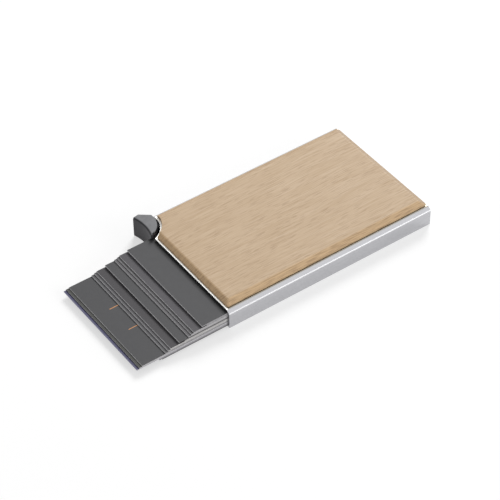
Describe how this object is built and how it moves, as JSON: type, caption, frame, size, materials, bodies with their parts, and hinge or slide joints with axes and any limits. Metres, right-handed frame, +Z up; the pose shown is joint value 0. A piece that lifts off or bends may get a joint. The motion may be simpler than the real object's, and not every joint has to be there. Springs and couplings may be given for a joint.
{
  "type": "card case",
  "caption": "Slim aluminium card case with a beech top panel, a thumb trigger in a corner notch and a sprung pusher that fans the cards out of the mouth.",
  "frame": {"origin": "centre of the sleeve's underside", "axes": "+Y along the sleeve towards its closed end, so the mouth faces -Y; +Z up out of the beech panel; +X across, towards the long side with no trigger"},
  "size_m": [0.0695, 0.1493, 0.0113],
  "materials": {
    "sleeve_aluminium": "satin",
    "beech": "satin",
    "film": "matte",
    "thumb_plastic": "matte",
    "moulding": "matte",
    "spring_steel": "satin",
    "screw_steel": "satin",
    "pad_rubber": "matte",
    "card_stock": "matte",
    "card_stock_blue": "matte"
  },
  "bodies": {
    "case": {"case_tube": "sleeve_aluminium", "end_cap": "sleeve_aluminium", "end_cap_screws": "screw_steel", "wood_panel": "beech", "bonding_film": "film", "side_rail": "moulding", "rail_cover": "moulding", "guide_rod": "spring_steel", "drive_spring": "spring_steel", "trigger_spring": "spring_steel", "brake_spring": "spring_steel", "left_card_leaf": "spring_steel", "right_card_leaf": "spring_steel"},
    "pusher": {"pusher": "moulding"},
    "trigger": {"trigger": "thumb_plastic"},
    "brake": {"brake_slide": "moulding", "brake_pad": "pad_rubber"},
    "card_01": {"card_01": "card_stock"},
    "card_02": {"card_02": "card_stock"},
    "card_03": {"card_03": "card_stock"},
    "card_04": {"card_04": "card_stock_blue"},
    "card_05": {"card_05": "card_stock"},
    "card_06": {"card_06": "card_stock"},
    "card_07": {"card_07": "card_stock"},
    "card_08": {"card_08": "card_stock"},
    "card_09": {"card_09": "card_stock"},
    "card_10": {"card_10": "card_stock"},
    "card_11": {"card_11": "card_stock"},
    "card_12": {"card_12": "card_stock"},
    "card_13": {"card_13": "card_stock"},
    "card_14": {"card_14": "card_stock"},
    "card_15": {"card_15": "card_stock"},
    "card_16": {"card_16": "card_stock"}
  },
  "joints": [
    {"name": "pusher_travel", "type": "slide", "parent": "case", "child": "pusher", "axis": [0, 1, 0], "range_m": [0, 0.03368], "stiffness_N_per_m": 25, "springref_m": -0.015, "deforming": ["drive_spring"]},
    {"name": "trigger_press", "type": "slide", "parent": "case", "child": "trigger", "axis": [0, 1, 0], "range_m": [0, 0.0008], "stiffness_N_per_m": 400, "springref_m": -0.0008, "deforming": ["trigger_spring"]},
    {"name": "brake_lift", "type": "slide", "parent": "case", "child": "brake", "axis": [-1, 0, 0], "range_m": [0, 0.0004], "deforming": ["brake_spring"]},
    {"name": "card_01_travel", "type": "slide", "parent": "case", "child": "card_01", "axis": [0, 1, 0], "range_m": [0, 0.03368]},
    {"name": "card_02_travel", "type": "slide", "parent": "case", "child": "card_02", "axis": [0, 1, 0], "range_m": [0, 0.03501]},
    {"name": "card_03_travel", "type": "slide", "parent": "case", "child": "card_03", "axis": [0, 1, 0], "range_m": [0, 0.03514]},
    {"name": "card_04_travel", "type": "slide", "parent": "case", "child": "card_04", "axis": [0, 1, 0], "range_m": [0, 0.04576]},
    {"name": "card_05_travel", "type": "slide", "parent": "case", "child": "card_05", "axis": [0, 1, 0], "range_m": [0, 0.04461]},
    {"name": "card_06_travel", "type": "slide", "parent": "case", "child": "card_06", "axis": [0, 1, 0], "range_m": [0, 0.04319]},
    {"name": "card_07_travel", "type": "slide", "parent": "case", "child": "card_07", "axis": [0, 1, 0], "range_m": [0, 0.03209]},
    {"name": "card_08_travel", "type": "slide", "parent": "case", "child": "card_08", "axis": [0, 1, 0], "range_m": [0, 0.03076]},
    {"name": "card_09_travel", "type": "slide", "parent": "case", "child": "card_09", "axis": [0, 1, 0], "range_m": [0, 0.02952]},
    {"name": "card_10_travel", "type": "slide", "parent": "case", "child": "card_10", "axis": [0, 1, 0], "range_m": [0, 0.02252]},
    {"name": "card_11_travel", "type": "slide", "parent": "case", "child": "card_11", "axis": [0, 1, 0], "range_m": [0, 0.02527]},
    {"name": "card_12_travel", "type": "slide", "parent": "case", "child": "card_12", "axis": [0, 1, 0], "range_m": [0, 0.02075]},
    {"name": "card_13_travel", "type": "slide", "parent": "case", "child": "card_13", "axis": [0, 1, 0], "range_m": [0, 0.01938]},
    {"name": "card_14_travel", "type": "slide", "parent": "case", "child": "card_14", "axis": [0, 1, 0], "range_m": [0, 0.01823]},
    {"name": "card_15_travel", "type": "slide", "parent": "case", "child": "card_15", "axis": [0, 1, 0], "range_m": [0, 0.01177]},
    {"name": "card_16_travel", "type": "slide", "parent": "case", "child": "card_16", "axis": [0, 1, 0], "range_m": [0, 0.01416]}
  ],
  "couplings": [
    {"joint": "brake_lift", "follows": "trigger_press", "ratio": 0.5},
    {"joint": "card_01_travel", "follows": "pusher_travel", "ratio": 1},
    {"joint": "card_02_travel", "follows": "pusher_travel", "ratio": 1.0394},
    {"joint": "card_03_travel", "follows": "pusher_travel", "ratio": 1.0434},
    {"joint": "card_04_travel", "follows": "pusher_travel", "ratio": 1.3588},
    {"joint": "card_05_travel", "follows": "pusher_travel", "ratio": 1.3246},
    {"joint": "card_06_travel", "follows": "pusher_travel", "ratio": 1.2826},
    {"joint": "card_07_travel", "follows": "pusher_travel", "ratio": 0.95269},
    {"joint": "card_08_travel", "follows": "pusher_travel", "ratio": 0.91326},
    {"joint": "card_09_travel", "follows": "pusher_travel", "ratio": 0.87646},
    {"joint": "card_10_travel", "follows": "pusher_travel", "ratio": 0.66881},
    {"joint": "card_11_travel", "follows": "pusher_travel", "ratio": 0.75029},
    {"joint": "card_12_travel", "follows": "pusher_travel", "ratio": 0.61624},
    {"joint": "card_13_travel", "follows": "pusher_travel", "ratio": 0.5755},
    {"joint": "card_14_travel", "follows": "pusher_travel", "ratio": 0.54133},
    {"joint": "card_15_travel", "follows": "pusher_travel", "ratio": 0.34945},
    {"joint": "card_16_travel", "follows": "pusher_travel", "ratio": 0.42042}
  ]
}
